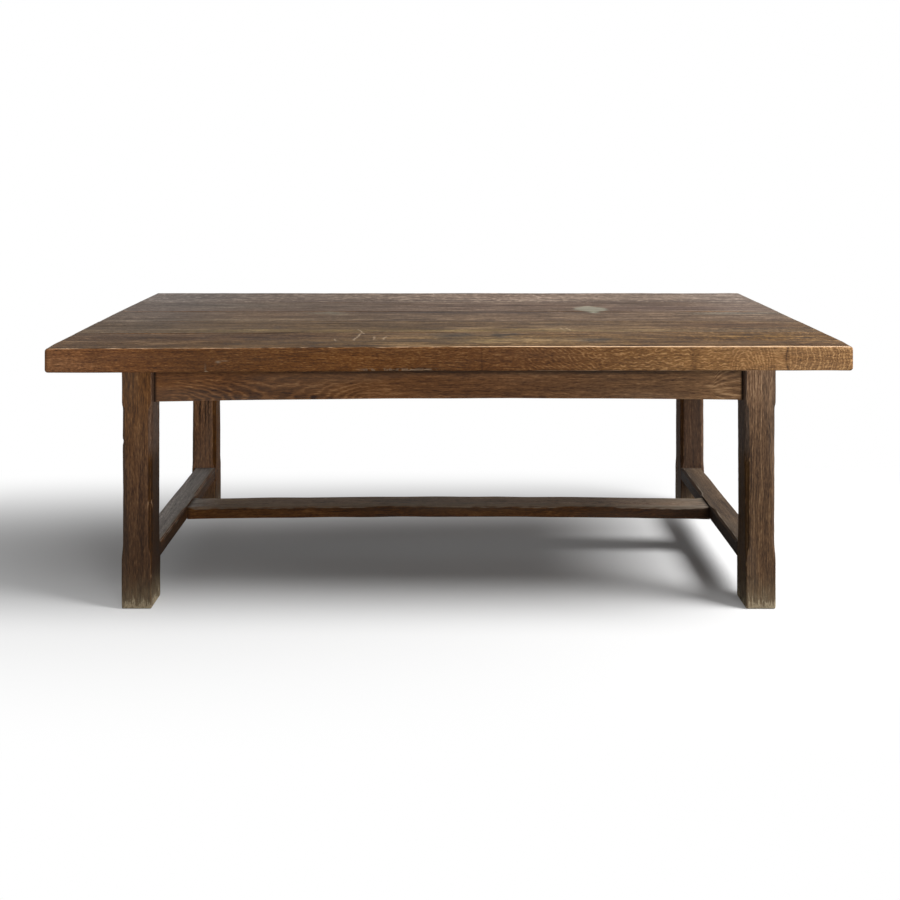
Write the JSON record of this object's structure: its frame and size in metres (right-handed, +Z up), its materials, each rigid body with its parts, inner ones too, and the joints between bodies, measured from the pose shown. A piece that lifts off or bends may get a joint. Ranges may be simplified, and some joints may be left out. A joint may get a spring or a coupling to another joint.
{
  "type": "farmhouse table",
  "caption": "Rectangular oak farmhouse dining table: thick plank top on square chamfered legs, pegged aprons and an H-shaped stretcher.",
  "frame": {"origin": "on the floor, under the middle of the top", "axes": "+X along the length of the table, -Y towards the front long side, +Z up"},
  "size_m": [2.2, 1, 0.76],
  "materials": {
    "top_oak": "worn satin wax over aged oak, greyed on the upper face",
    "frame_oak": "dark waxed oak with worn edges",
    "stretcher_oak": "dark waxed oak, rubbed grey on top by feet",
    "peg_oak": "end grain of riven oak pegs, waxed over",
    "bare_oak": "unfinished oak of the hidden pieces",
    "screw_steel": "dull steel wood screw"
  },
  "bodies": {
    "root": {"top_board_1": "top_oak", "top_board_2": "top_oak", "top_board_3": "top_oak", "top_board_4": "top_oak", "top_board_5": "top_oak", "loose_tongue_1": "bare_oak", "loose_tongue_2": "bare_oak", "loose_tongue_3": "bare_oak", "loose_tongue_4": "bare_oak", "leg_front_left": "frame_oak", "leg_front_right": "frame_oak", "leg_back_left": "frame_oak", "leg_back_right": "frame_oak", "long_apron_front": "frame_oak", "long_apron_back": "frame_oak", "end_apron_left": "frame_oak", "end_apron_right": "frame_oak", "side_stretcher_left": "stretcher_oak", "side_stretcher_right": "stretcher_oak", "long_stretcher": "stretcher_oak", "peg_long_apron_front_left_lower": "peg_oak", "peg_long_apron_front_left_upper": "peg_oak", "peg_long_apron_front_right_lower": "peg_oak", "peg_long_apron_front_right_upper": "peg_oak", "peg_long_apron_back_left_lower": "peg_oak", "peg_long_apron_back_left_upper": "peg_oak", "peg_long_apron_back_right_lower": "peg_oak", "peg_long_apron_back_right_upper": "peg_oak", "peg_end_apron_front_left_lower": "peg_oak", "peg_end_apron_front_left_upper": "peg_oak", "peg_end_apron_front_right_lower": "peg_oak", "peg_end_apron_front_right_upper": "peg_oak", "peg_end_apron_back_left_lower": "peg_oak", "peg_end_apron_back_left_upper": "peg_oak", "peg_end_apron_back_right_lower": "peg_oak", "peg_end_apron_back_right_upper": "peg_oak", "peg_side_stretcher_front_left": "peg_oak", "peg_side_stretcher_front_right": "peg_oak", "peg_side_stretcher_back_left": "peg_oak", "peg_side_stretcher_back_right": "peg_oak", "peg_long_stretcher_left": "peg_oak", "peg_long_stretcher_right": "peg_oak", "button_front_1": "bare_oak", "button_front_2": "bare_oak", "button_front_3": "bare_oak", "button_back_1": "bare_oak", "button_back_2": "bare_oak", "button_back_3": "bare_oak", "button_left": "bare_oak", "button_right": "bare_oak", "screw_front_1": "screw_steel", "screw_front_2": "screw_steel", "screw_front_3": "screw_steel", "screw_back_1": "screw_steel", "screw_back_2": "screw_steel", "screw_back_3": "screw_steel", "screw_left": "screw_steel", "screw_right": "screw_steel"}
  },
  "joints": []
}
